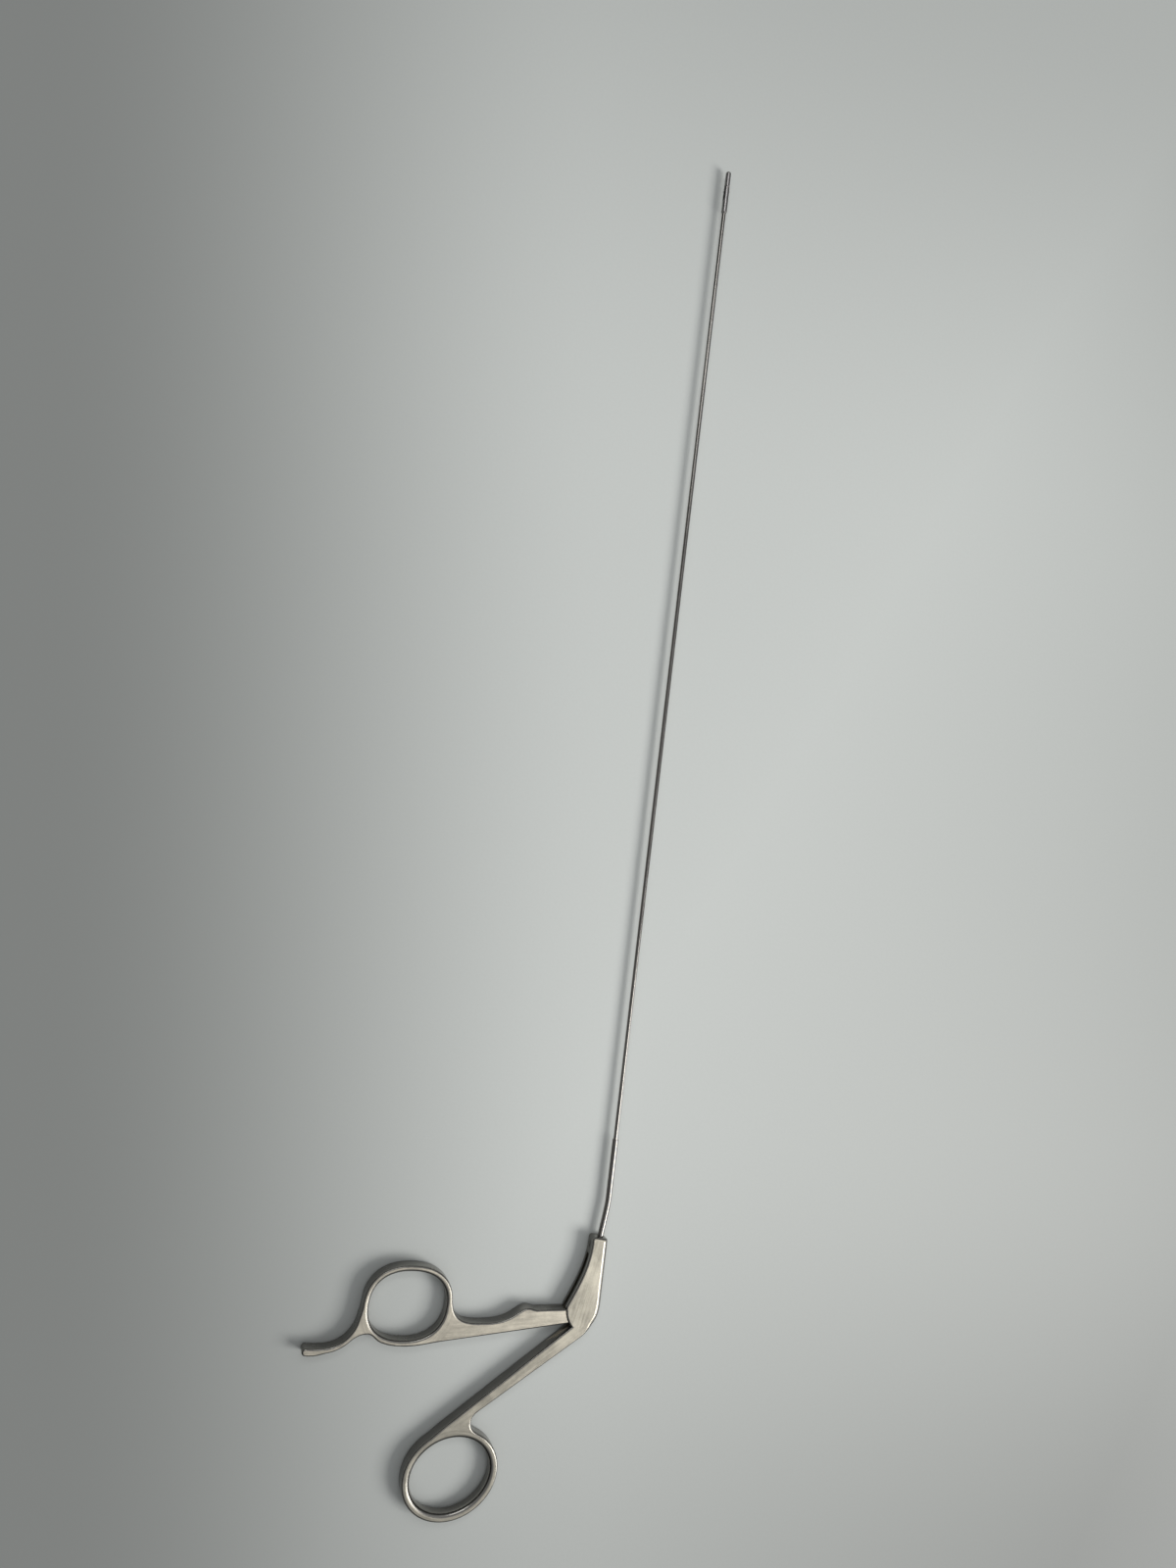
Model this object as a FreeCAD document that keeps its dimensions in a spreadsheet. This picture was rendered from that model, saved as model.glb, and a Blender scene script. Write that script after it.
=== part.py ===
import FreeCAD, Part
import math
import os

import Sketcher

from FreeCAD import Placement, Rotation, Vector

# Long grasping forceps lying flat: ring handle at the near end, slim tube and toothed jaws at the far end.
# Frame: millimetres, +Z up, origin on the handle pivot's axis in the rest face, thin tube along +Y.

SIZES = [
    # Handle stock and pivot
    ("stock_thickness", 6.0, "thickness of both handle halves"),
    ("cheek_radius", 11.75, "rim of the cheeks round the pivot"),
    ("shoulder_gap", 0.15, "gap between cheek rim and shoulder"),
    ("slot_width", 2.3, "slot between the two cheeks"),
    ("tongue_side_gap", 0.05, "tongue to cheek, each side"),
    ("pivot_radius", 1.0, "pivot pin"),
    ("press_gap", 0.005, "pins and tubes fixed in their holes"),
    ("running_gap", 0.03, "turning and sliding fits, radial"),
    ("eye_wall", 0.9, "tongue metal round the pivot pin"),
    ("eye_gap", 0.2, "tongue eye to slot floor"),
    ("spine_wall", 1.0, "closed back behind the slot"),
    ("slot_mouth", 5.8, "top of the slot on the flank, below the neck end"),
    ("slot_roof_left", 1.2, "inner end of the slot roof, left of the pivot"),
    ("slot_roof_drop", 10.6, "inner end of the slot roof, below the neck end"),
    ("slot_turn", 8.0, "where the slot floor becomes straight, above the pivot"),
    ("slot_runout", 17.6, "lower end of the slot, left of the pivot"),
    ("edge_round", 0.8, "rounded handle edges"),
    ("back_round", 2.2, "rounded back of the fixed handle"),
    # Fixed handle
    ("neck_left", 3.8, "neck side, left of the pivot axis"),
    ("neck_top", 27.2, "neck end along the tube axis from the pivot's level"),
    ("neck_corner", 1.3, "rounded corners of the neck end"),
    ("flank_angle", 64.2, "direction in which the flank leaves the cheek rim"),
    ("flank_pull", 9.6, "reach of the flank curve at the cheek"),
    ("neck_pull", 10.0, "reach of the flank curve at the neck"),
    ("back_start", 2.0, "height at which the straight back begins to turn"),
    ("heel_turn_right", 1.15, "middle of the heel, right of the pivot"),
    ("heel_turn_drop", 6.6, "middle of the heel, below the pivot"),
    ("heel_turn_angle", 58.0, "slope of the outline in the middle of the heel"),
    ("heel_reach", 4.0, "where the heel joins the shank, left of the pivot"),
    ("inner_angle", 38.1, "inner face of the fixed shank"),
    ("inner_offset", 1.0, "inner face line below the pivot axis"),
    ("outer_angle", 35.4, "outer face of the fixed shank"),
    ("outer_offset", 7.55, "outer face line below the pivot axis"),
    ("shank_end", 41.5, "where the outer face ends, left of the pivot"),
    ("web_side", 45.3, "hollow of the ring web, left of the pivot"),
    ("web_drop", 43.6, "hollow of the ring web, below the pivot"),
    ("web_landing", 47.0, "direction in which the web meets the ring, from the ring centre"),
    ("inner_landing", 38.0, "direction in which the inner face meets the ring, left of straight up"),
    ("inner_sweep", 5.5, "reach of the curve between inner face and ring"),
    # Rings
    ("fixed_ring_left", 51.15, "fixed ring centre, left of the pivot"),
    ("fixed_ring_drop", 63.9, "fixed ring centre, below the pivot"),
    ("fixed_ring_half_length", 15.7, "fixed ring opening"),
    ("fixed_ring_half_width", 14.1, "fixed ring opening"),
    ("fixed_ring_tilt", 18.0, "fixed ring long axis"),
    ("fixed_ring_power", 2.0, "two is an ellipse, more is squarer"),
    ("fixed_ring_rim", 3.3, "metal round the fixed ring's opening"),
    ("fixed_ring_round", 1.8, "rounded inside of the fixed ring"),
    ("moving_ring_left", 75.75, "moving ring centre, left of the pivot"),
    ("moving_ring_rise", 1.45, "moving ring centre, above the pivot"),
    ("moving_ring_half_length", 14.95, "moving ring opening"),
    ("moving_ring_half_width", 13.0, "moving ring opening"),
    ("moving_ring_tilt", -2.2, "moving ring long axis"),
    ("moving_ring_power", 2.3, "two is an ellipse, more is squarer"),
    ("moving_ring_rim", 2.35, "metal round the moving ring's opening"),
    ("moving_ring_round", 1.2, "rounded inside of the moving ring"),
    # Moving handle
    ("shank_top", -0.75, "flat top edge beside the shoulder"),
    ("bump_reach", 27.0, "thumb bump, left of the pivot"),
    ("bump_top", -0.1, "crown of the thumb bump"),
    ("waist_reach", 45.5, "lowest place of the top edge, left of the pivot"),
    ("waist_top", -5.55, "lowest place of the top edge"),
    ("shank_bottom", -6.5, "bottom edge at the shoulder"),
    ("bottom_angle", 6.6, "slope of the bottom edge"),
    ("bottom_end", 60.0, "where the bottom edge meets the ring blend"),
    ("ring_low", 8.0, "direction in which the bottom edge meets the ring, left of straight down"),
    ("ring_dip", 26.0, "further turn to where the hook's dip leaves the ring"),
    ("ring_hook", 4.0, "direction in which the hook's inside meets the ring, up from straight left"),
    ("ring_web", 8.0, "direction in which the top edge meets the ring, up from straight right"),
    ("dip_left", 90.2, "dip between ring and hook, left of the pivot"),
    ("dip_drop", 9.0, "dip between ring and hook, below the pivot"),
    ("hook_low_start", -47.0, "direction in which the hook's outside becomes round"),
    ("hook_high_end", -10.0, "direction in which the hook's inside stops being round"),
    ("hook_radius", 13.4, "finger hook centreline"),
    ("hook_width", 2.05, "finger hook strip"),
    ("hook_left", 106.2, "finger hook centre, left of the pivot"),
    ("hook_drop", 1.3, "finger hook centre, below the pivot"),
    ("hook_low_end", -78.0, "direction in which the hook's outside becomes flatter"),
    ("hook_tip_left", 112.15, "centre of the hook's round tip, left of the pivot"),
    ("hook_tip_drop", 15.0, "centre of the hook's round tip, below the pivot"),
    ("hook_tip_radius", 1.5, "round tip of the hook"),
    ("hook_tip_rise", 8.0, "slope of the hook at its tip"),
    # Link between tongue and rod
    ("link_radius", 0.45, "link pin"),
    ("link_gap", 0.045, "link pin in the rod eye"),
    ("handle_swing", 15.0, "full swing of the moving handle"),
    ("saw_width", 0.5, "saw cut for the rod eye"),
    ("saw_radius", 31.5, "cutter of the saw cut"),
    ("saw_floor", -3.1, "lowest place of the saw cut"),
    ("saw_reach", 5.0, "cutter centre, left of the pivot"),
    ("rod_side_gap", 0.025, "rod eye to saw cut, each side"),
    ("rod_eye_wall", 0.45, "metal of the rod eye"),
    ("rod_flat_length", 5.4, "flat part of the rod end"),
    ("rod_barrel_radius", 0.75, "round part of the rod end"),
    ("rod_barrel_length", 5.0, "round part of the rod end"),
    ("rod_socket", 4.0, "wire inside the rod end"),
    # Shaft
    ("tube_offset", 1.9, "thin tube axis, right of the pivot"),
    ("bend_height", 40.8, "bend of the shaft, above the pivot"),
    ("bend_angle", 7.0, "bend between neck and thin tube"),
    ("bend_radius", 40.0, "radius of the bend"),
    ("tube_radius", 0.835, "thin tube outside"),
    ("tube_bore", 0.55, "thin tube inside"),
    ("sleeve_radius", 1.165, "stiffening sleeve outside"),
    ("sleeve_socket", 6.0, "sleeve inside the neck"),
    ("tube_socket", 9.0, "thin tube inside the neck"),
    ("sleeve_top", 66.2, "sleeve end, above the pivot"),
    ("wire_radius", 0.3, "drive wire"),
    ("wire_passage", 0.6, "hole for the wire below the tube socket"),
    ("window_width", 0.8, "solder window in the neck"),
    ("window_length", 2.7, "solder window in the neck"),
    ("window_drop", 2.9, "solder window centre, below the neck end"),
    # Head and jaws
    ("head_reach", 10.5, "rear end of the jaw carrier, behind the jaw pin"),
    ("head_radius", 1.165, "jaw carrier outside"),
    ("head_nose", 0.35, "bevel at the rear of the jaw carrier"),
    ("head_socket", 3.5, "thin tube inside the carrier"),
    ("head_bore", 0.7, "guide bore for the crosshead"),
    ("fork_depth", 5.0, "fork slot behind the jaw pin"),
    ("jaw_pin_height", 464.0, "jaw pin, above the pivot"),
    ("jaw_pin_radius", 0.3, "jaw pin"),
    ("fork_nose", 0.75, "rounded fork ends round the jaw pin"),
    ("leaf_gap", 0.02, "gap between neighbouring leaves in the fork"),
    ("blade_thickness", 0.36, "crosshead blade"),
    ("tail_thickness", 0.4, "jaw tail"),
    ("jaw_radius", 1.1, "closed jaws outside"),
    ("jaw_reach", 7.2, "jaw tips, beyond the jaw pin"),
    ("jaw_nose", 0.75, "rounding of the jaw tips"),
    ("jaw_clearance", 0.12, "jaw heel to fork end"),
    ("jaw_swing", 26.0, "full swing of each jaw"),
    ("tooth_pitch", 1.3, "tooth spacing"),
    ("tooth_height", 0.34, "tooth height"),
    ("bite_gap", 0.03, "gap between the closed jaws"),
    ("drive_pin_radius", 0.22, "drive pin in the cam slots"),
    ("cam_reach", 2.35, "drive pin behind the jaw pin, jaws closed"),
    ("cam_wall", 0.24, "metal beside the cam slots"),
    ("crosshead_length", 2.0, "round part of the crosshead"),
    ("crosshead_socket", 1.5, "wire inside the crosshead"),
]

doc = FreeCAD.newDocument("GraspingForceps")
sheet = doc.addObject("Spreadsheet::Sheet", "dims")
for row_number, (alias, value, note) in enumerate(SIZES, start=1):
    sheet.set(f"A{row_number}", note)
    sheet.set(f"B{row_number}", str(value))
    sheet.setAlias(f"B{row_number}", alias)
doc.recompute()


def size(alias):
    """Value of one cell of the sheet, in millimetres or degrees."""
    return float(sheet.get(alias))


def heading(degrees):
    """Unit vector in the handle plane, counted from +X towards +Y."""
    angle = math.radians(degrees)
    return Vector(math.cos(angle), math.sin(angle), 0)


# Places that several pieces share
MID = size("stock_thickness") / 2
NECK_DIRECTION = heading(90 - size("bend_angle"))
BEND = Vector(size("tube_offset"), size("bend_height"), 0)
LINK_ARM = BEND.y * math.sin(math.radians(size("bend_angle"))) - BEND.x * math.cos(
    math.radians(size("bend_angle")))
HALF_SWING = size("handle_swing") / 2
LINK = heading(180 + HALF_SWING) * LINK_ARM
TRAVEL = LINK_ARM * math.radians(size("handle_swing"))
EYE_RADIUS = size("pivot_radius") + size("eye_wall")
FLOOR_RADIUS = EYE_RADIUS + size("eye_gap")
BACK_X = FLOOR_RADIUS + size("spine_wall")
SHOULDER_RADIUS = size("cheek_radius") + size("shoulder_gap")
TONGUE_THICKNESS = size("slot_width") - 2 * size("tongue_side_gap")


def neck_point(distance):
    """Point on the neck axis, counted back from the bend along the neck."""
    return BEND - NECK_DIRECTION * distance


NECK_LENGTH = (BEND.y - size("neck_top")) / NECK_DIRECTION.y


# Curves

def bezier(*poles):
    curve = Part.BezierCurve()
    curve.setPoles(list(poles))
    return curve.toBSpline()


def blend(start, start_way, end, end_way, pull=0.42):
    """Smooth curve that leaves start along start_way and arrives at end along end_way."""
    reach = start.distanceToPoint(end) * pull
    return bezier(start, start + start_way * reach, end - end_way * reach, end)


def spline(points, start_way, end_way):
    """Smooth curve through points, by length, with its directions at both ends given."""
    lengths = [0.0]
    for before, after in zip(points, points[1:]):
        lengths.append(lengths[-1] + before.distanceToPoint(after))
    curve = Part.BSplineCurve()
    curve.interpolate(Points=points, Parameters=lengths, InitialTangent=start_way,
                      FinalTangent=end_way, Scale=False)
    return curve


def line(start, end):
    return Part.LineSegment(start, end)


def arc(start, middle, end):
    return Part.Arc(start, middle, end)


def circle(centre, radius):
    return Part.Circle(centre, Vector(0, 0, 1), radius)


class Ring:
    """Finger ring: a closed curve of one formula, for the opening or for the outside."""

    def __init__(self, centre, half_length, half_width, tilt, power):
        self.centre = centre
        self.half_length = half_length
        self.half_width = half_width
        self.tilt = math.radians(tilt)
        self.power = power

    def point(self, degrees):
        """Point at a direction seen from the centre, counted from +X."""
        local = math.radians(degrees) - self.tilt
        across = abs(math.cos(local)) / self.half_length
        along = abs(math.sin(local)) / self.half_width
        radius = (across ** self.power + along ** self.power) ** (-1 / self.power)
        return self.centre + heading(degrees) * radius

    def way(self, degrees):
        """Direction of the curve there, counterclockwise."""
        step = 0.05
        ahead = self.point(degrees + step) - self.point(degrees - step)
        return ahead.normalize()

    def run(self, start, end):
        """Part of the curve from one direction to another."""
        count = max(2, round(abs(end - start) / 15))
        places = [start + (end - start) * number / count for number in range(count + 1)]
        sense = 1 if end > start else -1
        points = [self.point(place) for place in places]
        return spline(points, self.way(start) * sense, self.way(end) * sense)

    def closed(self):
        curve = Part.BSplineCurve()
        count = 24
        points = [self.point(360 * number / count) for number in range(count)]
        curve.interpolate(Points=points, PeriodicFlag=True)
        return curve


def ring_pair(prefix, centre):
    """Opening and outside of one finger ring."""
    inner = [size(f"{prefix}_half_length"), size(f"{prefix}_half_width")]
    outer = [half + size(f"{prefix}_rim") for half in inner]
    tilt = size(f"{prefix}_tilt")
    power = size(f"{prefix}_power")
    return Ring(centre, *inner, tilt, power), Ring(centre, *outer, tilt, power)


# Features

def new_body(label, lift=0.0):
    body = doc.addObject("PartDesign::Body", label)
    body.Label = label
    body.Placement = Placement(Vector(0, 0, lift), Rotation())
    return body


def rounded_stock(name, outline, radii):
    """Outline raised to the stock thickness; radii gives both ends of each flat edge's rounding."""
    sketch = doc.addObject("Sketcher::SketchObject", f"{name}_outline")
    sketch.addGeometry(outline, False)
    stock = doc.addObject("Part::Extrusion", f"{name}_stock")
    stock.Base = sketch
    stock.DirMode = "Custom"
    stock.Dir = Vector(0, 0, 1)
    stock.Solid = True
    stock.setExpression("LengthFwd", "dims.stock_thickness")
    doc.recompute()
    rounded = doc.addObject("Part::Fillet", f"{name}_rounded")
    rounded.Base = stock
    rounded.Edges = [(number, *radii(edge)) for number, edge in enumerate(stock.Shape.Edges, start=1)
                     if flat_edge(edge, FACES) and radii(edge)]
    return rounded


def origin_plane(body, role):
    return next(plane for plane in body.Origin.OriginFeatures if plane.Role == role)


def flat_sketch(body, name, curves, height=None):
    """Sketch of closed curves on the body's XY plane, raised by an expression."""
    sketch = body.newObject("Sketcher::SketchObject", name)
    sketch.AttachmentSupport = [(origin_plane(body, "XY_Plane"), "")]
    sketch.MapMode = "FlatFace"
    if height:
        sketch.setExpression("AttachmentOffset.Base.z", height)
    sketch.addGeometry(curves, False)
    return sketch


def pad(body, sketch, name, length, midplane=False):
    feature = body.newObject("PartDesign::Pad", name)
    feature.Profile = sketch
    feature.setExpression("Length", length)
    if midplane:
        feature.SideType = "Symmetric"
    body.Tip = feature
    return feature


def pocket(body, sketch, name, length, midplane=True):
    feature = body.newObject("PartDesign::Pocket", name)
    feature.Profile = sketch
    feature.setExpression("Length", length)
    if midplane:
        feature.SideType = "Symmetric"
    body.Tip = feature
    return feature


def drill(body, name, base, direction, radius, depth):
    """Round hole of a bound radius and depth from base along direction."""
    feature = body.newObject("PartDesign::SubtractiveCylinder", name)
    feature.AttachmentSupport = [(origin_plane(body, "XY_Plane"), "")]
    feature.MapMode = "FlatFace"
    feature.AttachmentOffset = Placement(base, Rotation(Vector(0, 0, 1), direction))
    feature.setExpression("Radius", radius)
    feature.setExpression("Height", depth)
    body.Tip = feature
    return feature


def round_edges(body, name, wanted, radius):
    """Fillet on the edges of the tip that the test picks."""
    doc.recompute()
    base = body.Tip
    names = [f"Edge{number}" for number, edge in enumerate(base.Shape.Edges, start=1) if wanted(edge)]
    feature = body.newObject("PartDesign::Fillet", name)
    feature.Base = (base, names)
    feature.setExpression("Radius", radius)
    body.Tip = feature
    doc.recompute()
    return feature


def flat_edge(edge, heights):
    """True for an edge that lies whole at one of the heights."""
    box = edge.BoundBox
    return box.ZLength < 1e-6 and any(abs(box.ZMin - height) < 1e-6 for height in heights)


def middle(edge):
    return edge.valueAt((edge.FirstParameter + edge.LastParameter) / 2)


def line_at(angle, offset, x):
    """Point of a shank face line that runs down to the left, offset below the pivot."""
    way = heading(angle)
    foot = Vector(way.y, -way.x, 0) * offset
    return foot + way * ((x - foot.x) / way.x)


FACES = (0.0, size("stock_thickness"))


def build_fixed_handle():
    """Body with the neck, slotted cheeks, shank and lower ring."""
    opening, outside = ring_pair("fixed_ring", Vector(-size("fixed_ring_left"), -size("fixed_ring_drop"), 0))
    inner_way = heading(size("inner_angle"))
    outer_way = heading(size("outer_angle"))
    cheek = size("cheek_radius")

    # Neck end, square to the neck axis
    end_way = Vector(NECK_DIRECTION.y, -NECK_DIRECTION.x, 0)
    end_centre = neck_point(NECK_LENGTH)
    corner = size("neck_corner")
    end_left = end_centre + end_way * ((-size("neck_left") + corner - end_centre.x) / end_way.x)
    end_right = end_centre + end_way * ((BACK_X - corner - end_centre.x) / end_way.x)
    left_side = Vector(-size("neck_left"), end_left.y - corner, 0)
    right_side = Vector(BACK_X, end_right.y - corner, 0)

    # Back and shank
    back_turn = Vector(BACK_X, size("back_start"), 0)
    heel = line_at(size("outer_angle"), size("outer_offset"), -size("heel_reach"))
    shank_out = line_at(size("outer_angle"), size("outer_offset"), -size("shank_end"))
    hollow = Vector(-size("web_side"), -size("web_drop"), 0)
    heel_turn = Vector(size("heel_turn_right"), -size("heel_turn_drop"), 0)
    heel_way = heading(180 + size("heel_turn_angle"))
    down = Vector(0, -1, 0)
    back_curve = blend(back_turn, down, heel_turn, heel_way, 0.36)
    web_landing = size("web_landing")
    inner_landing = 90 + size("inner_landing")
    ring_entry = outside.point(web_landing)
    ring_leave = outside.point(inner_landing)
    inner_start = line_at(size("inner_angle"), size("inner_offset"), ring_leave.x + size("inner_sweep"))

    # The inner face meets the cheek rim where its line cuts the rim's circle
    foot = Vector(inner_way.y, -inner_way.x, 0) * size("inner_offset")
    half_chord = math.sqrt(cheek ** 2 - size("inner_offset") ** 2)
    corner_point = foot - inner_way * half_chord
    rim_top = Vector(-cheek, 0, 0)
    corner_angle = math.degrees(math.atan2(corner_point.y, corner_point.x)) % 360
    rim_middle = heading((180 + corner_angle) / 2) * cheek
    flank_way = heading(size("flank_angle"))

    outline = [
        line(end_left, end_right),
        blend(end_right, end_way, right_side, down, 0.39),
        line(right_side, back_turn),
        back_curve,
        blend(heel_turn, heel_way, heel, outer_way * -1, 0.36),
        line(heel, shank_out),
        blend(shank_out, outer_way * -1, hollow, down, 0.36),
        blend(hollow, down, ring_entry, outside.way(web_landing) * -1, 0.42),
        outside.run(web_landing, inner_landing - 360),
        blend(ring_leave, outside.way(inner_landing) * -1, inner_start, inner_way, 0.4),
        line(inner_start, corner_point),
        arc(corner_point, rim_middle, rim_top),
        bezier(rim_top, rim_top + flank_way * size("flank_pull"),
               left_side + down * size("neck_pull"), left_side),
        blend(left_side, down * -1, end_left, end_way, 0.39),
    ]
    # The back is rounder than the rest; its rounding grows round the neck corner and fades in the heel
    wide, slim = size("back_round"), size("edge_round")

    def edge_radii(edge):
        first, last = edge.valueAt(edge.FirstParameter), edge.valueAt(edge.LastParameter)
        if min(first.y, last.y) < heel.y - 0.01 or max(first.x, last.x) < heel_turn.x - 0.01:
            return slim, slim
        along_back = [point.y < right_side.y + 0.01 and point.y > heel_turn.y - 0.01 and point.x > 0
                      for point in (first, last)]
        return tuple(wide if on_back else slim for on_back in along_back)

    body = new_body("fixed_handle")
    body.BaseFeature = rounded_stock("fixed_forging", outline, edge_radii)
    pocket(body, flat_sketch(body, "fixed_ring_opening", [opening.closed()], "dims.stock_thickness / 2"),
           "fixed_ring_hole", "dims.stock_thickness * 1.5")

    def on_ring(edge):
        box = edge.BoundBox
        near = abs(box.Center.x - opening.centre.x) < 1 and abs(box.Center.y - opening.centre.y) < 1
        return flat_edge(edge, FACES) and near and box.XLength < 2 * outside.half_length - 1

    round_edges(body, "fixed_ring_rounding", on_ring, "dims.fixed_ring_round")

    # Slot: from the neck down past the pivot, running out on the inner face of the shank
    roof = Vector(-size("slot_roof_left"), size("neck_top") - size("slot_roof_drop"), 0)
    mouth = Vector(-size("neck_left") - 1, size("neck_top") - size("slot_mouth"), 0)
    floor_turn = Vector(FLOOR_RADIUS, size("slot_turn"), 0)
    floor_low = Vector(FLOOR_RADIUS, -0.6, 0)
    bend_direction = -52
    floor_bend = heading(bend_direction) * (FLOOR_RADIUS + 0.75)
    bend_way = heading(bend_direction - 78)
    runout = line_at(size("inner_angle"), size("inner_offset"), -size("slot_runout"))
    runout_way = heading(size("outer_angle") - 2) * -1
    outside_runout = runout + heading(size("inner_angle") + 90) * 4
    outside_mouth = Vector(-cheek - 4, mouth.y, 0)
    slot_outline = [
        line(mouth, roof),
        blend(roof, heading(-54), floor_turn, down, 0.38),
        line(floor_turn, floor_low),
        blend(floor_low, down, floor_bend, bend_way, 0.4),
        blend(floor_bend, bend_way, runout, runout_way, 0.3),
        line(runout, outside_runout),
        line(outside_runout, outside_mouth),
        line(outside_mouth, mouth),
    ]
    pocket(body, flat_sketch(body, "slot_outline", slot_outline, "dims.stock_thickness / 2"),
           "tongue_slot", "dims.slot_width")

    # Sockets along the neck axis, pivot hole and solder window
    above = 1.0
    start = neck_point(NECK_LENGTH - above) + Vector(0, 0, MID)
    into_neck = NECK_DIRECTION * -1
    drill(body, "sleeve_socket_hole", start, into_neck,
          "dims.sleeve_radius + dims.press_gap", f"dims.sleeve_socket + {above}")
    drill(body, "tube_socket_hole", start, into_neck,
          "dims.tube_radius + dims.press_gap", f"dims.tube_socket + {above}")
    drill(body, "wire_hole", start, into_neck, "dims.wire_passage", f"dims.tube_socket + dims.sleeve_socket + {above}")
    drill(body, "pivot_hole", Vector(0, 0, -above), Vector(0, 0, 1),
          "dims.pivot_radius + dims.press_gap", f"dims.stock_thickness + 2 * {above}")
    window = body.newObject("PartDesign::SubtractiveBox", "solder_window")
    window.AttachmentSupport = [(origin_plane(body, "XY_Plane"), "")]
    window.MapMode = "FlatFace"
    window.setExpression("Width", "dims.window_length")
    window.setExpression("Height", "dims.window_width")
    window.setExpression("Length", "dims.neck_left")
    window.setExpression("AttachmentOffset.Base.x", "-dims.neck_left - 0.5")
    window.setExpression("AttachmentOffset.Base.y",
                         "dims.neck_top - dims.window_drop - dims.window_length / 2")
    window.setExpression("AttachmentOffset.Base.z", "(dims.stock_thickness - dims.window_width) / 2")
    body.Tip = window
    return body


def build_moving_handle():
    """Upper ring with its finger hook, shank, and the tongue that turns between the cheeks."""
    opening, outside = ring_pair("moving_ring", Vector(-size("moving_ring_left"), size("moving_ring_rise"), 0))
    half_strip = size("hook_width") / 2
    hook_centre = Vector(-size("hook_left"), -size("hook_drop"), 0)
    hook_inner = size("hook_radius") - half_strip
    hook_outer = size("hook_radius") + half_strip
    down = Vector(0, -1, 0)
    left = Vector(-1, 0, 0)

    # Shoulder: the arc that turns beside the cheek rim
    def on_shoulder(height):
        return Vector(-math.sqrt(SHOULDER_RADIUS ** 2 - height ** 2), height, 0)

    shoulder_top = on_shoulder(size("shank_top"))
    shoulder_bottom = on_shoulder(size("shank_bottom"))
    shoulder_middle = on_shoulder((size("shank_top") + size("shank_bottom")) / 2)
    bottom_way = heading(180 + size("bottom_angle"))
    bottom_end = shoulder_bottom + bottom_way * (
        (size("bottom_end") + shoulder_bottom.x) / math.cos(math.radians(size("bottom_angle"))))
    ring_low = 270 - size("ring_low")
    ring_dip = ring_low - size("ring_dip")
    ring_hook = 180 - size("ring_hook")
    ring_web = size("ring_web")

    # Hook: an arc from the ring's side, then a flatter tail with a round end
    def hook_point(radius, degrees):
        return hook_centre + heading(degrees) * radius

    tip_centre = Vector(-size("hook_tip_left"), -size("hook_tip_drop"), 0)
    tip_way = heading(180 - size("hook_tip_rise"))
    tip_side = Vector(tip_way.y, -tip_way.x, 0) * size("hook_tip_radius")
    hook_low_end = size("hook_low_end")
    dip = Vector(-size("dip_left"), -size("dip_drop"), 0)
    hook_low_start = size("hook_low_start")
    hook_high_end = size("hook_high_end")

    # Top edge
    waist = Vector(-size("waist_reach"), size("waist_top"), 0)
    bump = Vector(-size("bump_reach"), size("bump_top"), 0)
    top_start = Vector(-size("bump_reach") + 3.6, size("shank_top") - 0.15, 0)
    top_way = (shoulder_top - top_start).normalize()
    bump_foot = Vector(-size("bump_reach") - 6.6, (size("bump_top") + size("waist_top")) / 2 - 0.3, 0)

    outline = [
        arc(shoulder_top, shoulder_middle, shoulder_bottom),
        line(shoulder_bottom, bottom_end),
        blend(bottom_end, bottom_way, outside.point(ring_low), outside.way(ring_low) * -1),
        outside.run(ring_low, ring_dip),
        blend(outside.point(ring_dip), outside.way(ring_dip) * -1, dip, left, 0.38),
        blend(dip, left, hook_point(hook_outer, hook_low_start), heading(hook_low_start - 90), 0.35),
        arc(hook_point(hook_outer, hook_low_start), hook_point(hook_outer, (hook_low_start + hook_low_end) / 2),
            hook_point(hook_outer, hook_low_end)),
        blend(hook_point(hook_outer, hook_low_end), heading(hook_low_end - 90), tip_centre - tip_side, tip_way, 0.4),
        arc(tip_centre - tip_side, tip_centre + tip_way * size("hook_tip_radius"), tip_centre + tip_side),
        blend(tip_centre + tip_side, tip_way * -1, hook_point(hook_inner, -90), left * -1, 0.4),
        arc(hook_point(hook_inner, -90), hook_point(hook_inner, (hook_high_end - 90) / 2),
            hook_point(hook_inner, hook_high_end)),
        blend(hook_point(hook_inner, hook_high_end), heading(hook_high_end + 90),
              outside.point(ring_hook), outside.way(ring_hook) * -1, 0.36),
        outside.run(ring_hook, ring_web),
        blend(outside.point(ring_web), outside.way(ring_web) * -1, waist, left * -1, 0.5),
        spline([waist, bump_foot, bump, top_start], left * -1, top_way),
        line(top_start, shoulder_top),
    ]

    body = new_body("moving_handle")
    slim = size("edge_round")
    body.BaseFeature = rounded_stock(
        "moving_forging", outline, lambda edge: middle(edge).x < -SHOULDER_RADIUS and (slim, slim))
    pocket(body, flat_sketch(body, "moving_ring_opening", [opening.closed()], "dims.stock_thickness / 2"),
           "moving_ring_hole", "dims.stock_thickness * 1.5")

    def on_ring(edge):
        box = edge.BoundBox
        near = abs(box.Center.x - opening.centre.x) < 1 and abs(box.Center.y - opening.centre.y) < 1
        return flat_edge(edge, FACES) and near and box.XLength < 2 * outside.half_length - 1

    round_edges(body, "moving_ring_rounding", on_ring, "dims.moving_ring_round")

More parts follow.
